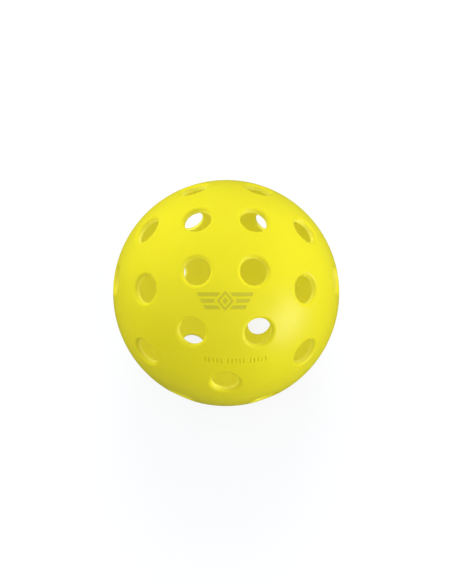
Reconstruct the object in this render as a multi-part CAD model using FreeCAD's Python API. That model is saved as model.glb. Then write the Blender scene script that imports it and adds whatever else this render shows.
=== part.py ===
"""An outdoor pickleball: two moulded half shells with twenty rounded air holes each, welded at the equator.

The frame: the origin is the ball's centre, and +Z is the moulding axis, from the lower half to the upper
half. The parting plane is z = 0. The upper half carries an inlaid mark and a row of moulded ticks on its
-Y side. Lengths are in millimetres and angles in degrees.
"""

import FreeCAD
import Part

import math
import os

V = FreeCAD.Vector

# --- the shell ---
BALL_DIAMETER = 74.0
WALL = 2.0
OUTER_R = BALL_DIAMETER / 2
INNER_R = OUTER_R - WALL

# --- the air holes ---
HOLE_DIAMETER = 8.6
HOLE_R = HOLE_DIAMETER / 2
HOLE_OUTER_ROUND = 1.1
HOLE_INNER_ROUND = 0.3
# each row of holes: how many, the first one's azimuth, and the angle from the pole
HOLE_ROWS = ((4, 45.0, 20.0), (8, 22.5, 47.5), (8, 0.0, 75.0))
SPHERE_SEAM_AZIMUTH = 10.0  # the closing line of the spherical faces, clear of every hole
LOWER_TURN = -24.0  # turns the lower half by about half a pitch, so that its holes lie between the upper ones

# --- the welded joint: a tongue on the upper rim in a groove in the lower rim ---
MID_WALL_R = (OUTER_R + INNER_R) / 2
TONGUE_WIDTH = 0.7
TONGUE_HEIGHT = 1.0
TONGUE_ROOT = 0.5  # how far the tongue's ring reaches into the upper wall, where the two fuse
GROOVE_WIDTH = 0.8
GROOVE_DEPTH = 1.3
SEAM_CHAMFER = 0.06  # the fine line that the weld leaves on the outside

# --- the inlaid mark, laid out flat and pressed into the sphere along its own normal ---
MARK_POLAR = 29.0
MARK_AZIMUTH = -90.0
INK_DEPTH = 0.1
DIAMOND_HALF_WIDTH = 2.6
DIAMOND_HALF_HEIGHT = 3.1
DIAMOND_WINDOW = 0.67  # the open middle, as a share of the diamond
DIAMOND_CORE = 0.36  # the small solid diamond inside the window, as a share of the whole
BAR_HEIGHT = 1.15
BAR_PITCH = 1.95
BAR_GAP = 0.95  # from the diamond's side to a bar's inner end, along x
BAR_OUTER_X = (8.1, 7.1, 6.1)  # the feet of the bars' outer ends, from the top bar down
BAR_RAKE = 0.5  # how far an outer end leans out, per millimetre of height

# --- the row of moulded ticks ---
TICK_POLAR = 60.0
TICK_AZIMUTH = -84.4
TICK_SLOPE = -0.1  # the row drops by this share of its length towards the east
TICK_GROUPS = 3
TICKS_IN_GROUP = 5
TICK_PITCH = 1.2
GROUP_GAP = 0.9
TICK_WIDTH = 0.55
TICK_HEIGHT = 1.7
TICK_DEPTH = 0.2

# --- how outlines are pressed in ---
PRESS_START = 1.0  # above the sphere
PRESS_LENGTH = 6.0


def direction(polar, azimuth):
    """The unit vector at this angle from +Z and this azimuth from +X."""
    p, a = math.radians(polar), math.radians(azimuth)
    return V(math.sin(p) * math.cos(a), math.sin(p) * math.sin(a), math.cos(p))


def hole_directions():
    """The axes of the twenty holes of the upper half."""
    for count, first, polar in HOLE_ROWS:
        for k in range(count):
            yield direction(polar, first + 360.0 * k / count)


def ring(inner_r, outer_r, z_low, z_high):
    """A plain ring about the moulding axis."""
    height, foot = z_high - z_low, V(0, 0, z_low)
    return Part.makeCylinder(outer_r, height, foot).cut(Part.makeCylinder(inner_r, height, foot))


def plain_half():
    """Half of the hollow ball, above the parting plane, with the seam's fine chamfer round its outer edge."""
    shell = Part.makeSphere(OUTER_R, V(0, 0, 0), V(0, 0, 1), 0, 90, 360)
    shell = shell.cut(Part.makeSphere(INNER_R))
    chamfer_height = 2 * SEAM_CHAMFER
    cone = Part.makeCone(OUTER_R - SEAM_CHAMFER, OUTER_R + SEAM_CHAMFER, chamfer_height)
    shell = shell.cut(ring(MID_WALL_R, OUTER_R + WALL, 0, chamfer_height).cut(cone))
    shell.rotate(V(0, 0, 0), V(0, 0, 1), SPHERE_SEAM_AZIMUTH)
    return shell


def hole_circles(shell, sphere_r):
    """The sharp circles where the holes meet the sphere of this radius."""
    circle_at = math.sqrt(sphere_r**2 - HOLE_R**2)
    found = []
    for edge in shell.Edges:
        if edge.Degenerated or edge.Curve.TypeId != "Part::GeomCircle":
            continue
        circle = edge.Curve
        if abs(circle.Radius - HOLE_R) < 1e-4 and abs(circle.Center.Length - circle_at) < 1e-3:
            found.append(edge)
    return found


def rounded_holes(shell):
    """The shell with its twenty holes, their outer and inner edges rounded."""
    for axis in hole_directions():
        shell = shell.cut(Part.makeCylinder(HOLE_R, 2 * WALL, axis * (INNER_R - WALL / 2), axis))
    shell = shell.makeFillet(HOLE_OUTER_ROUND, hole_circles(shell, OUTER_R))
    return shell.makeFillet(HOLE_INNER_ROUND, hole_circles(shell, INNER_R))


def pressed(outlines, polar, azimuth, depth):
    """Flat outlines pressed into the sphere's outermost layer, along its normal at this place.

    Each outline is a list of (x, y), with x to the east and y towards the pole.
    """
    normal = direction(polar, azimuth)
    east = V(0, 0, 1).cross(normal).normalize()
    north = normal.cross(east)
    start = normal * (OUTER_R + PRESS_START)
    layer = Part.makeSphere(OUTER_R).cut(Part.makeSphere(OUTER_R - depth))
    solids = []
    for outline in outlines:
        corners = [start + east * x + north * y for x, y in outline]
        face = Part.Face(Part.makePolygon(corners + corners[:1]))
        solids += face.extrude(normal * -PRESS_LENGTH).common(layer).Solids
    return solids


def diamond(share):
    """The mark's diamond at this share of its full size."""
    x, y = DIAMOND_HALF_WIDTH * share, DIAMOND_HALF_HEIGHT * share
    return [(x, 0), (0, y), (-x, 0), (0, -y)]


def bars():
    """Three bars on each side of the diamond, their inner ends parallel to its sides."""
    outlines = []
    for row, outer_x in enumerate(BAR_OUTER_X):
        middle = (1 - row) * BAR_PITCH
        foot, top = middle - BAR_HEIGHT / 2, middle + BAR_HEIGHT / 2
        levels = [foot, 0.0, top] if foot < 0 < top else [foot, top]
        inner = [(DIAMOND_HALF_WIDTH * (1 - abs(y) / DIAMOND_HALF_HEIGHT) + BAR_GAP, y) for y in levels]
        outline = inner + [(outer_x + BAR_RAKE * BAR_HEIGHT, top), (outer_x, foot)]
        outlines.append(outline)
        outlines.append([(-x, y) for x, y in outline])
    return outlines


def build_mark():
    """The mark's flat solids: a diamond's outline round a small diamond, with three bars on each side."""
    whole, window, core = pressed([diamond(1), diamond(DIAMOND_WINDOW), diamond(DIAMOND_CORE)],
                                  MARK_POLAR, MARK_AZIMUTH, INK_DEPTH)
    wings = pressed(bars(), MARK_POLAR, MARK_AZIMUTH, INK_DEPTH)
    return Part.makeCompound([whole.cut(window), core] + wings)


def build_ticks():
    """The cutters of the row of moulded ticks."""
    count = TICK_GROUPS * TICKS_IN_GROUP
    length = (count - 1) * TICK_PITCH + (TICK_GROUPS - 1) * GROUP_GAP
    w, h = TICK_WIDTH / 2, TICK_HEIGHT / 2
    outlines = []
    for k in range(count):
        x = k * TICK_PITCH + (k // TICKS_IN_GROUP) * GROUP_GAP - length / 2
        y = TICK_SLOPE * x
        outlines.append([(x - w, y - h), (x + w, y - h), (x + w, y + h), (x - w, y + h)])
    return pressed(outlines, TICK_POLAR, TICK_AZIMUTH, TICK_DEPTH)


def build_upper(mark):
    """The upper half, with the tongue under its rim and the mark and the ticks sunk into it."""
    half_width = TONGUE_WIDTH / 2
    tongue = ring(MID_WALL_R - half_width, MID_WALL_R + half_width, -TONGUE_HEIGHT, TONGUE_ROOT)
    shell = rounded_holes(plain_half()).fuse(tongue)
    return shell.cut(mark.Solids + build_ticks())


def build_lower():
    """The lower half is made like the upper one, with a groove for the tongue, then turned over."""
    half_width = GROOVE_WIDTH / 2
    groove = ring(MID_WALL_R - half_width, MID_WALL_R + half_width, -WALL, GROOVE_DEPTH)
    shell = rounded_holes(plain_half()).cut(groove)
    shell.rotate(V(0, 0, 0), V(1, 0, 0), 180)
    shell.rotate(V(0, 0, 0), V(0, 0, 1), LOWER_TURN)
    return shell


def build_weld():
    """The melted bead that fills the bottom of the groove, under the tongue."""
    half_width = GROOVE_WIDTH / 2
    return ring(MID_WALL_R - half_width, MID_WALL_R + half_width, -GROOVE_DEPTH, -TONGUE_HEIGHT)


def main():
    os.makedirs("parts", exist_ok=True)
    mark = build_mark()
    nodes = {
        "upper_half_shell": build_upper(mark),
        "lower_half_shell": build_lower(),
        "weld_bead": build_weld(),
        "inlaid_mark": mark,
    }
    for name, shape in nodes.items():
        shape.exportStep(f"parts/{name}.step")
        print(f"{name}: {len(shape.Solids)} solids, {shape.Volume:.2f} mm3, valid {shape.isValid()}")


main()
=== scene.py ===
"""The looks of an outdoor pickleball: two perforated half shells and an inlaid mark, in a pale studio.

Lengths are worked out in millimetres in the part's own frame and turned into metres when a mesh is made.
The origin is the ball's centre, +Z is the moulding axis and the mark is on the -Y side.
"""

from collections import namedtuple
import math

import bmesh
import bpy
import numpy as np
from mathutils import Matrix, Vector, kdtree
from mathutils.geometry import delaunay_2d_cdt


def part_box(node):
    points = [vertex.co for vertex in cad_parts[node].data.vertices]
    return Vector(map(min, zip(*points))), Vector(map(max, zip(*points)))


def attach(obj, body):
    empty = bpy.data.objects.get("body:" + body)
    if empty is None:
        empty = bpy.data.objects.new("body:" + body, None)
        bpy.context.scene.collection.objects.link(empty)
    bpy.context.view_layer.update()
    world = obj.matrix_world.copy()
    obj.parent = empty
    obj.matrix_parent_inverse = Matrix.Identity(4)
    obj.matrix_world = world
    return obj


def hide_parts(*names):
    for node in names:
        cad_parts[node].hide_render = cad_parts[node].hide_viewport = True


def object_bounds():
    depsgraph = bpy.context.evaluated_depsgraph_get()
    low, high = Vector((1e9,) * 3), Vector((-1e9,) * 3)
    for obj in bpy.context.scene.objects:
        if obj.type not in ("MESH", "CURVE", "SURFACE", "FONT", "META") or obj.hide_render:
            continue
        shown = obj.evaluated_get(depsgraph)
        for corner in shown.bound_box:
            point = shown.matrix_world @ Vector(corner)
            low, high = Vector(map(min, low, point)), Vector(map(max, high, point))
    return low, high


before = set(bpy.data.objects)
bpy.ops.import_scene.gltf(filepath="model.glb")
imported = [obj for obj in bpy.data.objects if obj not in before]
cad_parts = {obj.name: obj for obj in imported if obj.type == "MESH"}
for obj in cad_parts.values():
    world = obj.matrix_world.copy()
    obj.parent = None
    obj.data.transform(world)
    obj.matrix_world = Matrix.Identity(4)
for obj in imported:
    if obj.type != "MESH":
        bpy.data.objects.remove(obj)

CAD_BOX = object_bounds()
MM = 0.001
UP = np.array([0.0, 0.0, 1.0])

# --- the shell, as the CAD model has it ---
SHELL_LOW, SHELL_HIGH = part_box("lower_half_shell")
OUTER_R = round((SHELL_HIGH[0] - SHELL_LOW[0]) / 2 / MM, 1)
WALL = 2.0
INNER_R = OUTER_R - WALL
HOLE_R = 4.3
OUTER_ROUND = 1.1
INNER_ROUND = 0.3
# each row of holes: how many, the first one's azimuth, and the angle from the pole
HOLE_ROWS = ((4, 45.0, 20.0), (8, 22.5, 47.5), (8, 0.0, 75.0))
LOWER_TURN = -24.0  # about the moulding axis, after the lower half has been turned over

# --- the welded rims, as (distance from the axis, height) from the outside in ---
MID_WALL_R = OUTER_R - WALL / 2
SEAM_CHAMFER = 0.06
TONGUE_HALF, TONGUE_HEIGHT, TONGUE_BEVEL = 0.35, 1.0, 0.08
GROOVE_HALF, GROOVE_DEPTH = 0.4, 1.3
TONGUE_RIM = (
    (OUTER_R - SEAM_CHAMFER, 0),
    (MID_WALL_R + TONGUE_HALF, 0),
    (MID_WALL_R + TONGUE_HALF, TONGUE_BEVEL - TONGUE_HEIGHT),
    (MID_WALL_R + TONGUE_HALF - TONGUE_BEVEL, -TONGUE_HEIGHT),
    (MID_WALL_R - TONGUE_HALF + TONGUE_BEVEL, -TONGUE_HEIGHT),
    (MID_WALL_R - TONGUE_HALF, TONGUE_BEVEL - TONGUE_HEIGHT),
    (MID_WALL_R - TONGUE_HALF, 0),
    (INNER_R, 0),
)
GROOVE_RIM = (
    (OUTER_R - SEAM_CHAMFER, 0),
    (MID_WALL_R + GROOVE_HALF, 0),
    (MID_WALL_R + GROOVE_HALF, GROOVE_DEPTH),
    (MID_WALL_R - GROOVE_HALF, GROOVE_DEPTH),
    (MID_WALL_R - GROOVE_HALF, 0),
    (INNER_R, 0),
)

# --- the inlaid mark and the moulded ticks; a place is an angle from the pole and an azimuth ---
MARK_PLACE = (29.0, -90.0)
INK_DEPTH = 0.1
INK_SINK, INK_CLEARANCE = 0.012, 0.01  # below the skin, and off the recess's walls and floor
DIAMOND_HALF_WIDTH, DIAMOND_HALF_HEIGHT = 2.6, 3.1
DIAMOND_WINDOW, DIAMOND_CORE = 0.67, 0.36  # shares of the diamond's full size
BAR_HEIGHT, BAR_PITCH, BAR_GAP, BAR_RAKE = 1.15, 1.95, 0.95, 0.5
BAR_OUTER_X = (8.1, 7.1, 6.1)  # the feet of the bars' outer ends, from the top bar down
TICK_PLACE, TICK_SLOPE = (60.0, -84.4), -0.1
TICK_GROUPS, TICKS_IN_GROUP, TICK_PITCH, GROUP_GAP = 3, 5, 1.2, 0.9
TICK_WIDTH, TICK_HEIGHT, TICK_DEPTH, TICK_DRAFT, TICK_CORNER = 0.55, 1.7, 0.2, 0.08, 0.16
TICK_CORNER_STEPS = 3

# --- mesh density ---
OUTER_SUBDIVISIONS = 7  # of the icosphere whose points the outer skin uses, about 0.7 mm apart
INNER_SUBDIVISIONS = 6
HOLE_SEGMENTS = 80
RIM_SEGMENTS = 384
OUTER_ROUND_STEPS, INNER_ROUND_STEPS = 10, 3
OUTLINE_STEP = 0.3  # between points along an outline of the mark or a tick
OUTLINE_MARGIN = 0.6 * OUTLINE_STEP  # free points of the ink keep this far from its outlines
LOOP_MARGIN = 0.32  # the outer skin's free points keep this far from every loop, and the inner's twice as far
SAME_POINT = 1e-9  # the triangulation joins points that are closer than this
WHOLE_HULL = 0  # the triangulation's kind of output: triangles all the way out to the convex hull

# --- colours, in linear red, green and blue ---
# the inner yellow is painted light: it is paler so that the inside of the ball looks lit, and the glow is
# painted light through the wall
YELLOW, YELLOW_DEEP, YELLOW_INNER_PAINTED_LIGHT = (0.78, 0.72, 0.010), (0.76, 0.695, 0.009), (0.96, 0.925, 0.13)
YELLOW_REMELTED = (0.84, 0.75, 0.02)
YELLOW_GLOW = (1.0, 0.9, 0.04)
OLIVE, OLIVE_DEEP = (0.60, 0.545, 0.012), (0.56, 0.51, 0.010)
FLOOR_GREY, FLOOR_GREY_PALE = (0.175, 0.175, 0.175), (0.185, 0.185, 0.185)
FLOOR_GLOW = (0.955, 0.965, 1.0)
BLACK, WHITE = (0, 0, 0), (1, 1, 1)

# --- the studio: metres, degrees and watts; azimuth 0 is on the -Y side and 90 on the +X side ---
FLOOR_HALF_WIDTH = 4.0
DOME_R, DOME_STRENGTH = 3.0, 0.03
WORLD_ABOVE, WORLD_BELOW = 0.75, 0.325  # the strength of the light from above and below the horizon
WORLD_BLEND = 0.15  # the sine of the elevation at which the soft horizon ends, above and below
LIGHT_DISTANCE = 1.0
# each soft light: name, azimuth, elevation, power, size, and whether the plastic's gloss reflects it
SOFT_LIGHTS = (
    ("back", 178, 42, 4.9, 0.6, False),
    ("front_right", 60, 9, 5.8, 0.55, True),
    ("left", 268, 8, 4.1, 0.6, False),
)

# --- the camera ---
# the tilt is off the pole towards -Y, the turn is about Z and the roll is about the line of sight
CAMERA_TILT, CAMERA_TURN, CAMERA_ROLL = 25.28, -0.95, 0.76
CAMERA_DISTANCE_IN_RADII = 13.3
BALL_SHARE = 0.193664  # the ball's radius as a share of the frame's height
SENSOR_HEIGHT = 36.0
CAMERA_SHIFT = (-0.0003, 0.0017)


# ---------------------------------------------------------------- geometry helpers

def direction(polar, azimuth):
    """The unit vector at this angle from +Z and this azimuth from +X."""
    p, a = math.radians(polar), math.radians(azimuth)
    return np.array([math.sin(p) * math.cos(a), math.sin(p) * math.sin(a), math.cos(p)])


def tangents(axis):
    """East and north at a direction. At the pole they are +X and +Y."""
    east = np.cross(UP, axis)
    length = np.linalg.norm(east)
    east = east / length if length > 0 else np.array([1.0, 0.0, 0.0])
    return east, np.cross(axis, east)


def hole_axes():
    """The axes of the twenty holes of a half shell, before it is turned."""
    axes = []
    for count, first, polar in HOLE_ROWS:
        axes += [direction(polar, first + 360.0 * k / count) for k in range(count)]
    return axes


def outside_holes(directions, hole_angle):
    """Which of the directions are further than an angle from every hole's axis."""
    return (directions @ np.array(hole_axes()).T).max(1) < math.cos(hole_angle)


def circle(axis, rho, z, segments):
    """Points on a circle of radius rho about an axis, at height z along it."""
    east, north = tangents(axis)
    turn = np.linspace(0, 2 * math.pi, segments, endpoint=False)[:, None]
    return axis * z + rho * (np.cos(turn) * east + np.sin(turn) * north)


def inside(points, outline):
    """Which of the flat points lie inside the closed outline."""
    x, y = points[:, 0], points[:, 1]
    result = np.zeros(len(points), bool)
    for (ax, ay), (bx, by) in zip(outline, np.roll(outline, -1, axis=0)):
        crosses = (ay > y) != (by > y)
        with np.errstate(divide="ignore", invalid="ignore"):
            result ^= crosses & (x < (bx - ax) * (y - ay) / (by - ay) + ax)
    return result


def in_figure(points, outlines):
    """Which of the flat points lie in a figure: inside its outline and outside any window in it."""
    result = np.zeros(len(points), bool)
    for outline in outlines:
        result ^= inside(points, outline)
    return result


def triangles(flat, loops):
    """Counter-clockwise triangles over flat points, which keep the edges of loops of point numbers."""
    edges = [(int(a), int(b)) for loop in loops for a, b in zip(loop, np.roll(loop, -1))]
    corners = [Vector(point) for point in flat.tolist()]
    _, _, faces, sources, _, _ = delaunay_2d_cdt(corners, edges, [], WHOLE_HULL, SAME_POINT)
    first = np.array([s[0] for s in sources])
    tris = first[np.array([tuple(f) for f in faces])]
    a, b, c = (flat[tris[:, k]] for k in range(3))
    clockwise = (b - a)[:, 0] * (c - a)[:, 1] < (b - a)[:, 1] * (c - a)[:, 0]
    tris[clockwise] = tris[clockwise][:, ::-1]
    return tris


class Surface:
    """A mesh under construction: points in mm, and faces with a normal at each corner."""

    def __init__(self):
        self.points, self.faces, self.normals, self.count = [], [], [], 0

    def add_points(self, points):
        """Adds points and returns their numbers."""
        self.points.append(np.asarray(points, float))
        self.count += len(points)
        return np.arange(self.count - len(points), self.count)

    def add_faces(self, faces, normals):
        """Adds faces, as rows of point numbers, turned to suit the outward normals of their corners."""
        faces, normals = np.asarray(faces), np.asarray(normals, float)
        points = np.concatenate(self.points)
        a, b, c = (points[faces[:, k]] for k in range(3))
        if (np.cross(b - a, c - a) * normals.sum(1)).sum(1).mean() < 0:
            faces, normals = faces[:, ::-1], normals[:, ::-1]
        self.faces.append(faces)
        self.normals.append(normals)

    def add_strip(self, ring_a, ring_b, normals_a, normals_b):
        """Adds the closed strip of quads between two rings of point numbers."""
        faces = np.stack([ring_a, np.roll(ring_a, -1), np.roll(ring_b, -1), ring_b], 1)
        normals = np.stack([normals_a, np.roll(normals_a, -1, 0), np.roll(normals_b, -1, 0), normals_b], 1)
        self.add_faces(faces, normals)

    def add_walls(self, ring_a, ring_b):
        """Adds the closed strip of flat quads between two rings of point numbers.

        Seen from its front, ring a runs to the right along the strip's bottom, and ring b along its top.
        """
        points = np.concatenate(self.points)
        faces = np.stack([ring_a, np.roll(ring_a, -1), np.roll(ring_b, -1), ring_b], 1)
        a, b, d = (points[faces[:, k]] for k in (0, 1, 3))
        flat = np.cross(b - a, d - a)
        self.faces.append(faces)
        self.normals.append(np.repeat(flat[:, None, :], 4, 1))

    def build(self, name, turn=np.eye(3)):
        """Makes the Blender object, in metres, turned by a 3x3 matrix."""
        points = np.concatenate(self.points) @ turn.T * MM
        mesh = bpy.data.meshes.new(name)
        mesh.from_pydata(points.tolist(), [], [f for block in self.faces for f in block.tolist()])
        mesh.polygons.foreach_set("use_smooth", [True] * len(mesh.polygons))
        normals = np.concatenate([block.reshape(-1, 3) for block in self.normals]) @ turn.T
        normals /= np.linalg.norm(normals, axis=1, keepdims=True)
        mesh.normals_split_custom_set(normals.tolist())
        mesh.update()
        return linked(name, mesh)


def linked(name, data):
    """A new object in the scene that shows this data."""
    result = bpy.data.objects.new(name, data)
    bpy.context.scene.collection.objects.link(result)
    return result


# ---------------------------------------------------------------- figures pressed into the skin

class Place:
    """The plane that touches the ball at a place, with x to the east and y towards the pole."""

    def __init__(self, polar, azimuth):
        self.normal = direction(polar, azimuth)
        self.east, self.north = tangents(self.normal)

    def on_sphere(self, flat, radius):
        """Flat points pressed along the plane's normal onto the sphere of this radius."""
        height = np.sqrt(radius**2 - (flat**2).sum(1, keepdims=True))
        return flat[:, :1] * self.east + flat[:, 1:] * self.north + height * self.normal

    def flat(self, points):
        """The flat (x, y) of points, and which of them are on this side of the ball."""
        return np.stack([points @ self.east, points @ self.north], 1), points @ self.normal > 0


# figures sunk into the skin at a place; their floors are smaller by the draft on every side
Pocket = namedtuple("Pocket", "place figures depth draft")


def offset(outline, distance):
    """The outline moved inwards by a distance, its corners mitred."""
    following = np.roll(outline, -1, 0)
    runs = outline - np.roll(outline, 1, 0), following - outline
    area = (outline[:, 0] * following[:, 1] - outline[:, 1] * following[:, 0]).sum()
    left = math.copysign(1.0, area)
    mitre = np.zeros_like(outline)
    for run in runs:
        mitre += left * np.stack([-run[:, 1], run[:, 0]], 1) / np.linalg.norm(run, axis=1)[:, None]
    mitre *= distance * 2 / (mitre**2).sum(1, keepdims=True)
    return outline + mitre


def drawn_in(figure, distance):
    """A figure's outlines, the outer one moved inwards by a distance and the window outwards."""
    return [offset(outline, -distance if k else distance) for k, outline in enumerate(figure)]


def dense(outline):
    """The outline with points no further than a step apart."""
    result = []
    for a, b in zip(outline, np.roll(outline, -1, axis=0)):
        pieces = max(1, math.ceil(np.linalg.norm(b - a) / OUTLINE_STEP))
        result += [a + (b - a) * k / pieces for k in range(pieces)]
    return np.array(result)


def diamond(share):
    """The mark's diamond at this share of its full size."""
    x, y = DIAMOND_HALF_WIDTH * share, DIAMOND_HALF_HEIGHT * share
    return np.array([(x, 0), (0, y), (-x, 0), (0, -y)], float)


def bars():
    """Three bars on each side of the diamond, their inner ends parallel to its sides."""
    outlines = []
    for row, outer_x in enumerate(BAR_OUTER_X):
        middle = (1 - row) * BAR_PITCH
        foot, top = middle - BAR_HEIGHT / 2, middle + BAR_HEIGHT / 2
        levels = [foot, 0.0, top] if foot < 0 < top else [foot, top]
        inner = [(DIAMOND_HALF_WIDTH * (1 - abs(y) / DIAMOND_HALF_HEIGHT) + BAR_GAP, y) for y in levels]
        outline = np.array(inner + [(outer_x + BAR_RAKE * BAR_HEIGHT, top), (outer_x, foot)])
        outlines += [outline[::-1], outline * (-1, 1)]
    return outlines


def mark_figures():
    """The mark's figures: each has a counter-clockwise outline, and the open diamond a clockwise window."""
    open_diamond = [diamond(1), diamond(DIAMOND_WINDOW)[::-1]]
    return [open_diamond, [diamond(DIAMOND_CORE)]] + [[bar] for bar in bars()]


def tick_figures():
    """The outlines of the moulded ticks at the skin, with rounded corners."""
    corner_x = (TICK_WIDTH + TICK_DRAFT) / 2 - TICK_CORNER
    corner_y = (TICK_HEIGHT + TICK_DRAFT) / 2 - TICK_CORNER
    tick = []
    for quarter, (sx, sy) in enumerate(((1, 1), (-1, 1), (-1, -1), (1, -1))):
        for step in range(TICK_CORNER_STEPS + 1):
            angle = math.pi / 2 * (quarter + step / TICK_CORNER_STEPS)
            x = sx * corner_x + TICK_CORNER * math.cos(angle)
            y = sy * corner_y + TICK_CORNER * math.sin(angle)
            tick.append((x, y))
    count = TICK_GROUPS * TICKS_IN_GROUP
    length = (count - 1) * TICK_PITCH + (TICK_GROUPS - 1) * GROUP_GAP
    figures = []
    for k in range(count):
        x = k * TICK_PITCH + (k // TICKS_IN_GROUP) * GROUP_GAP - length / 2
        figures.append([np.array(tick) + (x, TICK_SLOPE * x)])
    return figures


# ---------------------------------------------------------------- the half shells

def sphere_directions(subdivisions):
    """The directions of an icosphere's points above the parting plane."""
    bm = bmesh.new()
    bmesh.ops.create_icosphere(bm, subdivisions=subdivisions, radius=1.0)
    points = np.array([v.co[:] for v in bm.verts])
    bm.free()
    points /= np.linalg.norm(points, axis=1, keepdims=True)
    return points[points[:, 2] > 0]


def free_points(radius, subdivisions, hole_angle, loops, pockets):
    """The skin's points between its loops: outside the holes and pockets, and clear of every loop."""
    tree = kdtree.KDTree(sum(map(len, loops)))
    for number, point in enumerate(np.concatenate(loops)):
        tree.insert(point, number)
    tree.balance()
    margin = LOOP_MARGIN * 2 ** (OUTER_SUBDIVISIONS - subdivisions)
    free = sphere_directions(subdivisions)
    free = free[outside_holes(free, hole_angle)] * radius
    free = free[[tree.find(point)[2] > margin for point in free]]
    for pocket in pockets:
        for figure in pocket.figures:
            for outline in figure:
                flat, front = pocket.place.flat(free)
                free = free[~(inside(flat, dense(outline)) & front)]
    return free


def sink(surface, radius, pocket, figure, tops, tris, middle):
    """Adds a sunk figure's walls and floor, and returns which of the skin's triangles its floor has taken.

    tops are the point numbers of the figure's outlines in the skin, and middle is each triangle's middle.
    """
    flat, front = pocket.place.flat(middle)
    taken = in_figure(flat, [dense(outline) for outline in figure]) & front
    floor_of = {}
    for small, top in zip(drawn_in([dense(outline) for outline in figure], pocket.draft), tops):
        floor = surface.add_points(pocket.place.on_sphere(small, radius - pocket.depth))
        floor_of.update(zip(top.tolist(), floor.tolist()))
        surface.add_walls(top, floor)
    floor_tris = np.array([[floor_of[number] for number in tri] for tri in tris[taken].tolist()])
    surface.add_faces(floor_tris, np.concatenate(surface.points)[floor_tris] / radius)
    return taken


def skin(surface, radius, subdivisions, loops, hole_angle, side, pockets=()):
    """Adds a perforated spherical skin bounded by loops of points, and returns each loop's point numbers.

    side is 1 for the outside and -1 for the inside.
    """
    all_loops = list(loops)
    for pocket in pockets:
        for figure in pocket.figures:
            all_loops += [pocket.place.on_sphere(dense(outline), radius) for outline in figure]
    free = free_points(radius, subdivisions, hole_angle, all_loops, pockets)
    start = surface.count
    numbers = [surface.add_points(loop) for loop in all_loops]
    surface.add_points(free)

    # the triangles come from a stereographic map of the half sphere
    points = np.concatenate(all_loops + [free])
    flat_map = points[:, :2] / (radius + points[:, 2:])
    tris = triangles(flat_map, [loop - start for loop in numbers])
    middle = points[tris].mean(1)
    kept = outside_holes(middle / np.linalg.norm(middle, axis=1, keepdims=True), hole_angle)
    tris, middle = tris[kept] + start, middle[kept]

    tops = iter(numbers[len(loops):])
    for pocket in pockets:
        for figure in pocket.figures:
            taken = sink(surface, radius, pocket, figure, [next(tops) for _ in figure], tris, middle)
            tris, middle = tris[~taken], middle[~taken]
    surface.add_faces(tris, side * points[tris - start] / radius)
    return numbers[: len(loops)]


def tunnel_profile():
    """The wall of a hole from its outer edge to its inner edge: (rho, z, normal's rho, normal's z)."""
    rows = []
    out_r, in_r = HOLE_R + OUTER_ROUND, HOLE_R + INNER_ROUND
    out_z = math.sqrt((OUTER_R - OUTER_ROUND) ** 2 - out_r**2)
    in_z = math.sqrt((INNER_R + INNER_ROUND) ** 2 - in_r**2)
    for angle in np.linspace(math.atan2(out_z, out_r), math.pi, OUTER_ROUND_STEPS + 1):
        c, s = math.cos(angle), math.sin(angle)
        rows.append((out_r + OUTER_ROUND * c, out_z + OUTER_ROUND * s, c, s))
    for angle in np.linspace(math.pi, math.pi + math.atan2(in_z, in_r), INNER_ROUND_STEPS + 1):
        c, s = math.cos(angle), math.sin(angle)
        rows.append((in_r + INNER_ROUND * c, in_z + INNER_ROUND * s, c, s))
    return rows


def add_tunnel(surface, axis, profile, mouth, end):
    """Adds the wall of a hole between its mouth in the outer skin and its end in the inner skin."""
    between = [circle(axis, rho, z, HOLE_SEGMENTS) for rho, z, _, _ in profile[1:-1]]
    rings = [mouth] + [surface.add_points(ring) for ring in between] + [end]
    normals = [circle(axis, n_rho, n_z, HOLE_SEGMENTS) for _, _, n_rho, n_z in profile]
    for k in range(len(rings) - 1):
        surface.add_strip(rings[k], rings[k + 1], normals[k], normals[k + 1])


def add_rim(surface, rim, first, outer_ring, inner_ring):
    """Adds the welded rim, from the outer skin's ring at the point first to the inner skin's ring."""
    ring, last = outer_ring, first
    for k, (rho, z) in enumerate(rim):
        at_end = k == len(rim) - 1
        following = inner_ring if at_end else surface.add_points(circle(UP, rho, z, RIM_SEGMENTS))
        # the rim runs from the outside in with the solid above it, so its normal is on the left of each run
        run = np.array([rho - last[0], z - last[1]])
        run /= np.linalg.norm(run)
        normal = circle(UP, -run[1], run[0], RIM_SEGMENTS)
        surface.add_strip(ring, following, normal, normal)
        ring, last = following, (rho, z)


def half_shell(name, rim, turn, pockets=()):
    """A half shell, made with its parting plane at z = 0 and then turned into place."""
    surface = Surface()
    profile = tunnel_profile()
    mouth, end = profile[0][:2], profile[-1][:2]
    rim_start = (math.sqrt(OUTER_R**2 - SEAM_CHAMFER**2), SEAM_CHAMFER)
    outer_loops = [circle(UP, *rim_start, RIM_SEGMENTS)]
    outer_loops += [circle(axis, *mouth, HOLE_SEGMENTS) for axis in hole_axes()]
    inner_loops = [circle(UP, INNER_R, 0.0, RIM_SEGMENTS)]
    inner_loops += [circle(axis, *end, HOLE_SEGMENTS) for axis in hole_axes()]
    outer = skin(surface, OUTER_R, OUTER_SUBDIVISIONS, outer_loops, math.atan2(*mouth), 1, pockets)
    inner = skin(surface, INNER_R, INNER_SUBDIVISIONS, inner_loops, math.atan2(*end), -1)
    for axis, mouth_ring, end_ring in zip(hole_axes(), outer[1:], inner[1:]):
        add_tunnel(surface, axis, profile, mouth_ring, end_ring)
    add_rim(surface, rim, rim_start, outer[0], inner[0])
    return surface.build(name, turn)


# ---------------------------------------------------------------- the ink of the mark

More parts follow.
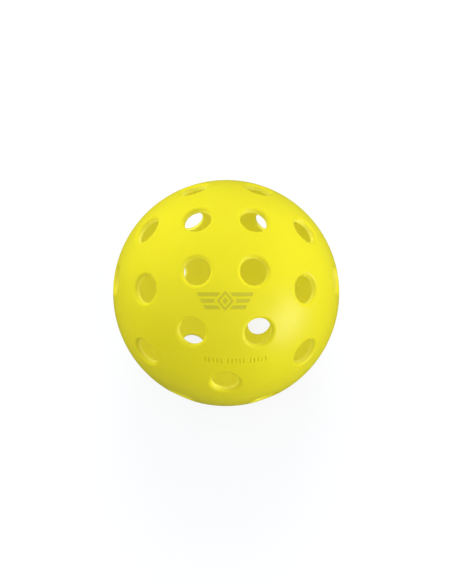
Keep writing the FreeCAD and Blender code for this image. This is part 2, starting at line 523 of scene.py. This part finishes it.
def filled(outlines):
    """Flat points and triangles that fill a figure, and each outline's point numbers.

    Free points lie on both sides of the outlines, at a distance, so that no triangle is a sliver along one.
    The outlines' own points come first and are all used.
    """
    edge = np.concatenate(outlines)
    spans = zip(edge.min(0) - 2 * OUTLINE_STEP, edge.max(0) + 2 * OUTLINE_STEP)
    grid = np.meshgrid(*(np.arange(low, high, OUTLINE_STEP) for low, high in spans))
    free = np.stack(grid, -1).reshape(-1, 2)
    free = free[[np.linalg.norm(edge - point, axis=1).min() > OUTLINE_MARGIN for point in free]]
    flat = np.concatenate([edge, free])
    starts = np.cumsum([0] + [len(outline) for outline in outlines])
    loops = [np.arange(a, b) for a, b in zip(starts, starts[1:])]
    tris = triangles(flat, loops)
    tris = tris[in_figure(flat[tris].mean(1), outlines)]
    used, tris = np.unique(tris, return_inverse=True)
    return flat[used], tris.reshape(-1, 3), loops


def marking_ink():
    """The ink of the mark: thin closed figures just below the skin, clear of the recess round them."""
    surface = Surface()
    place = Place(*MARK_PLACE)
    top_r, bottom_r = OUTER_R - INK_SINK, OUTER_R - INK_DEPTH + INK_CLEARANCE
    for figure in mark_figures():
        flat, tris, loops = filled([dense(outline) for outline in drawn_in(figure, INK_CLEARANCE)])
        top = surface.add_points(place.on_sphere(flat, top_r))
        bottom = surface.add_points(place.on_sphere(flat, bottom_r))
        normals = place.on_sphere(flat, top_r)[tris] / top_r
        surface.add_faces(top[tris], normals)
        surface.add_faces(bottom[tris], -normals)
        for loop in loops:
            surface.add_walls(bottom[loop], top[loop])
    return surface.build("marking_ink")


# ---------------------------------------------------------------- materials

class Nodes:
    """Short calls for building a material's node tree, with lengths in millimetres."""

    def __init__(self, name):
        self.material = bpy.data.materials.new(name)
        self.material.use_nodes = True
        self.material.cycles.emission_sampling = "NONE"  # every glow here is faint or large
        self.tree = self.material.node_tree
        self.shader = self.tree.nodes["Principled BSDF"]
        coordinates = self.tree.nodes.new("ShaderNodeTexCoord").outputs["Object"]
        self.place = self.tree.nodes.new("ShaderNodeVectorMath")
        self.place.operation = "SCALE"
        self.place.inputs["Scale"].default_value = 1 / MM
        self.tree.links.new(coordinates, self.place.inputs[0])

    def noise(self, size, detail=2.0, roughness=0.5):
        """Noise whose features are about this many millimetres across."""
        node = self.tree.nodes.new("ShaderNodeTexNoise")
        node.inputs["Scale"].default_value = 1 / size
        node.inputs["Detail"].default_value = detail
        node.inputs["Roughness"].default_value = roughness
        self.tree.links.new(self.place.outputs["Vector"], node.inputs["Vector"])
        return node.outputs["Fac"]

    def ramp(self, value, low, high, from_low=0.3, from_high=0.7):
        """The value mapped from its span, which is a noise's usual one if none is given, to low..high."""
        node = self.tree.nodes.new("ShaderNodeMapRange")
        set_range(node, from_low, from_high, low, high)
        self.tree.links.new(value, node.inputs["Value"])
        return node.outputs["Result"]

    def depth(self, shallow, deep):
        """0 up to the shallow depth below the outer skin, 1 from the deep one on, and smooth between."""
        length = self.tree.nodes.new("ShaderNodeVectorMath")
        length.operation = "LENGTH"
        self.tree.links.new(self.place.outputs["Vector"], length.inputs[0])
        node = self.tree.nodes.new("ShaderNodeMapRange")
        node.interpolation_type = "SMOOTHSTEP"
        set_range(node, OUTER_R - deep, OUTER_R - shallow, 1.0, 0.0)
        self.tree.links.new(length.outputs["Value"], node.inputs["Value"])
        return node.outputs["Result"]

    def mix(self, factor, first, second):
        """A colour between two, by a factor."""
        node = self.tree.nodes.new("ShaderNodeMix")
        node.data_type = "RGBA"
        self.tree.links.new(factor, node.inputs["Factor"])
        for name, colour in (("A", first), ("B", second)):
            socket = [s for s in node.inputs if s.name == name and s.type == "RGBA"][0]
            self.put(socket, colour)
        return [s for s in node.outputs if s.type == "RGBA"][0]

    def bump(self, height, strength, distance, below=None):
        """A bump whose full height is a distance in millimetres, over another bump if one is given."""
        node = self.tree.nodes.new("ShaderNodeBump")
        node.inputs["Strength"].default_value = strength
        node.inputs["Distance"].default_value = distance * MM
        self.tree.links.new(height, node.inputs["Height"])
        if below is not None:
            self.tree.links.new(below, node.inputs["Normal"])
        return node.outputs["Normal"]

    def put(self, socket, value):
        """Gives a socket a link, a colour or a number."""
        if isinstance(value, bpy.types.NodeSocket):
            self.tree.links.new(value, socket)
        else:
            socket.default_value = (*value, 1) if socket.type == "RGBA" else value

    def set(self, **values):
        """Gives the shader's sockets their values."""
        for name, value in values.items():
            self.put(self.shader.inputs[name.replace("_", " ")], value)


def set_range(node, from_low, from_high, low, high):
    """Sets the two spans of a Map Range node."""
    for name, number in zip(("From Min", "From Max", "To Min", "To Max"), (from_low, from_high, low, high)):
        node.inputs[name].default_value = number


def moulded_plastic(name, light, dark, cloud_size):
    """Satin moulded polyethylene: two close yellows, a fine grain and a slow waviness, scattering light.

    The inner skin and the deep part of each hole's wall are painted a paler yellow. This is painted light,
    which makes the inside look lit by the light that comes in through the holes.
    Its faint glow stands for the light that comes through the wall.
    """
    n = Nodes(name)
    cloud = n.ramp(n.noise(cloud_size, detail=3.0, roughness=0.55), low=0.0, high=1.0)
    grain = n.noise(size=0.45, roughness=0.6)
    wave = n.noise(size=6.0, detail=1.0)
    streaks = n.noise(size=2.5, detail=4.0, roughness=0.6)
    # painted light: from this depth inwards the skin takes the paler inner yellow and a faint glow
    inward = n.depth(shallow=0.3, deep=1.6)
    n.set(
        Base_Color=n.mix(inward, n.mix(cloud, light, dark), YELLOW_INNER_PAINTED_LIGHT),
        Emission_Color=YELLOW_GLOW,
        Emission_Strength=n.ramp(inward, low=0.0, high=0.064, from_low=0.0, from_high=1.0),
        Roughness=n.ramp(streaks, low=0.33, high=0.42),
        Normal=n.bump(grain, strength=0.35, distance=0.02, below=n.bump(wave, strength=0.5, distance=0.10)),
        Subsurface_Weight=0.35,
        Subsurface_Radius=(1.0, 0.8, 0.15),
        Subsurface_Scale=0.0009,
        Sheen_Weight=0.035,
        Sheen_Roughness=0.5,
        Specular_IOR_Level=0.3,
        IOR=1.5,
    )
    return n.material


def ink(name, light, dark):
    """Matt marking ink with a slightly uneven print."""
    n = Nodes(name)
    cover = n.ramp(n.noise(size=0.6, detail=4.0, roughness=0.65), low=0.0, high=1.0)
    n.set(
        Base_Color=n.mix(cover, light, dark),
        Roughness=n.ramp(n.noise(size=0.4), low=0.5, high=0.62),
        Normal=n.bump(n.noise(size=0.3), strength=0.3, distance=0.01),
    )
    return n.material


# ---------------------------------------------------------------- the ball

def build_ball():
    """The two shells and the mark, their materials, and what they stand for."""
    pockets = (
        Pocket(Place(*MARK_PLACE), mark_figures(), INK_DEPTH, 0.0),
        Pocket(Place(*TICK_PLACE), tick_figures(), TICK_DEPTH, TICK_DRAFT),
    )
    half_turn = np.diag([1.0, -1.0, -1.0])
    c, s = math.cos(math.radians(LOWER_TURN)), math.sin(math.radians(LOWER_TURN))
    about_z = np.array([[c, -s, 0.0], [s, c, 0.0], [0.0, 0.0, 1.0]])
    upper = half_shell("upper_shell", TONGUE_RIM, np.eye(3), pockets)
    lower = half_shell("lower_shell", GROOVE_RIM, about_z @ half_turn)
    mark = marking_ink()

    shell_plastic = moulded_plastic("shell_plastic_look", YELLOW, YELLOW_DEEP, cloud_size=14.0)
    weld_plastic = moulded_plastic("weld_plastic_look", YELLOW_DEEP, YELLOW_REMELTED, cloud_size=3.0)
    mark_ink = ink("mark_ink_look", OLIVE, OLIVE_DEEP)

    for piece, node, slot, material in (
        (upper, "upper_half_shell", "shell_plastic", shell_plastic),
        (lower, "lower_half_shell", "shell_plastic", shell_plastic),
        (mark, "inlaid_mark", "mark_ink", mark_ink),
    ):
        piece.data.materials.append(material)
        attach(piece, "root")
        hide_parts(node)
    for material_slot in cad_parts["weld_bead"].material_slots:
        material_slot.material = weld_plastic


# ---------------------------------------------------------------- floor, light and camera

def stage_mesh(name, bm):
    """An object of the studio from a bmesh, which it frees."""
    mesh = bpy.data.meshes.new(name)
    bm.to_mesh(mesh)
    bm.free()
    result = linked(name, mesh)
    return result


def studio_floor():
    """A large pale sheet that gives a little light of its own, so that it stays white round the ball.

    Only the camera sees it: the world lights the ball's underside through it, and gloss reflects the dome.
    """
    bm = bmesh.new()
    bmesh.ops.create_grid(bm, x_segments=16, y_segments=16, size=FLOOR_HALF_WIDTH)
    bm.transform(Matrix.Translation((0, 0, CAD_BOX[0][2])))
    floor = stage_mesh("studio_floor", bm)
    n = Nodes("floor_look")
    cloud = n.ramp(n.noise(size=900.0), low=0.0, high=1.0)
    n.set(
        Base_Color=n.mix(cloud, FLOOR_GREY, FLOOR_GREY_PALE),
        Roughness=0.9,
        Specular_IOR_Level=0.1,
        Emission_Color=FLOOR_GLOW,
        Emission_Strength=0.84,
    )
    floor.data.materials.append(n.material)
    floor.visible_diffuse = floor.visible_glossy = floor.visible_shadow = False


def reflected_dome():
    """A dim sphere that only glossy rays see: the plastic reflects it instead of the world."""
    bm = bmesh.new()
    bmesh.ops.create_icosphere(bm, subdivisions=4, radius=DOME_R)
    dome = stage_mesh("reflected_dome", bm)
    n = Nodes("dome_look")
    n.set(Base_Color=BLACK, Specular_IOR_Level=0.0, Emission_Color=WHITE, Emission_Strength=DOME_STRENGTH)
    dome.data.materials.append(n.material)
    dome.visible_camera = dome.visible_diffuse = dome.visible_shadow = dome.visible_transmission = False


def studio_world():
    """Soft white light from all round, stronger above the horizon than below it."""
    world = bpy.data.worlds.new("studio")
    bpy.context.scene.world = world
    world.use_nodes = True
    tree = world.node_tree
    height = tree.nodes.new("ShaderNodeSeparateXYZ")
    tree.links.new(tree.nodes.new("ShaderNodeTexCoord").outputs["Generated"], height.inputs[0])
    step = tree.nodes.new("ShaderNodeMapRange")
    set_range(step, -WORLD_BLEND, WORLD_BLEND, WORLD_BELOW, WORLD_ABOVE)
    tree.links.new(height.outputs["Z"], step.inputs["Value"])
    background = tree.nodes["Background"]
    background.inputs["Color"].default_value = (*WHITE, 1)
    tree.links.new(step.outputs["Result"], background.inputs["Strength"])


def soft_light(name, azimuth, elevation, power, size, reflected):
    """A square soft light that points at the ball. Gloss reflects it only if reflected is true."""
    a, e = math.radians(azimuth), math.radians(elevation)
    away = Vector((math.sin(a) * math.cos(e), -math.cos(a) * math.cos(e), math.sin(e)))
    data = bpy.data.lights.new(name, "AREA")
    data.energy = power
    data.size = size
    light = linked(name, data)
    light.location = away * LIGHT_DISTANCE
    light.rotation_euler = away.to_track_quat("Z", "Y").to_euler()
    light.visible_glossy = reflected


def camera():
    """A camera that looks at the ball's centre, with a lens that gives the ball its share of the frame."""
    tilt, turn, roll = (math.radians(angle) for angle in (CAMERA_TILT, CAMERA_TURN, CAMERA_ROLL))
    data = bpy.data.cameras.new("camera")
    data.lens = SENSOR_HEIGHT * BALL_SHARE * math.sqrt(CAMERA_DISTANCE_IN_RADII**2 - 1)
    data.shift_x, data.shift_y = CAMERA_SHIFT
    data.clip_start = 0.01
    aim = Matrix.Rotation(-turn, 4, "Z") @ Matrix.Rotation(tilt, 4, "X") @ Matrix.Rotation(-roll, 4, "Z")
    view = linked("camera", data)
    view.matrix_world = aim @ Matrix.Translation((0, 0, CAMERA_DISTANCE_IN_RADII * OUTER_R * MM))
    bpy.context.scene.camera = view


build_ball()
studio_floor()
reflected_dome()
studio_world()
for light in SOFT_LIGHTS:
    soft_light(*light)
camera()
bpy.context.scene.view_settings.view_transform = "Standard"
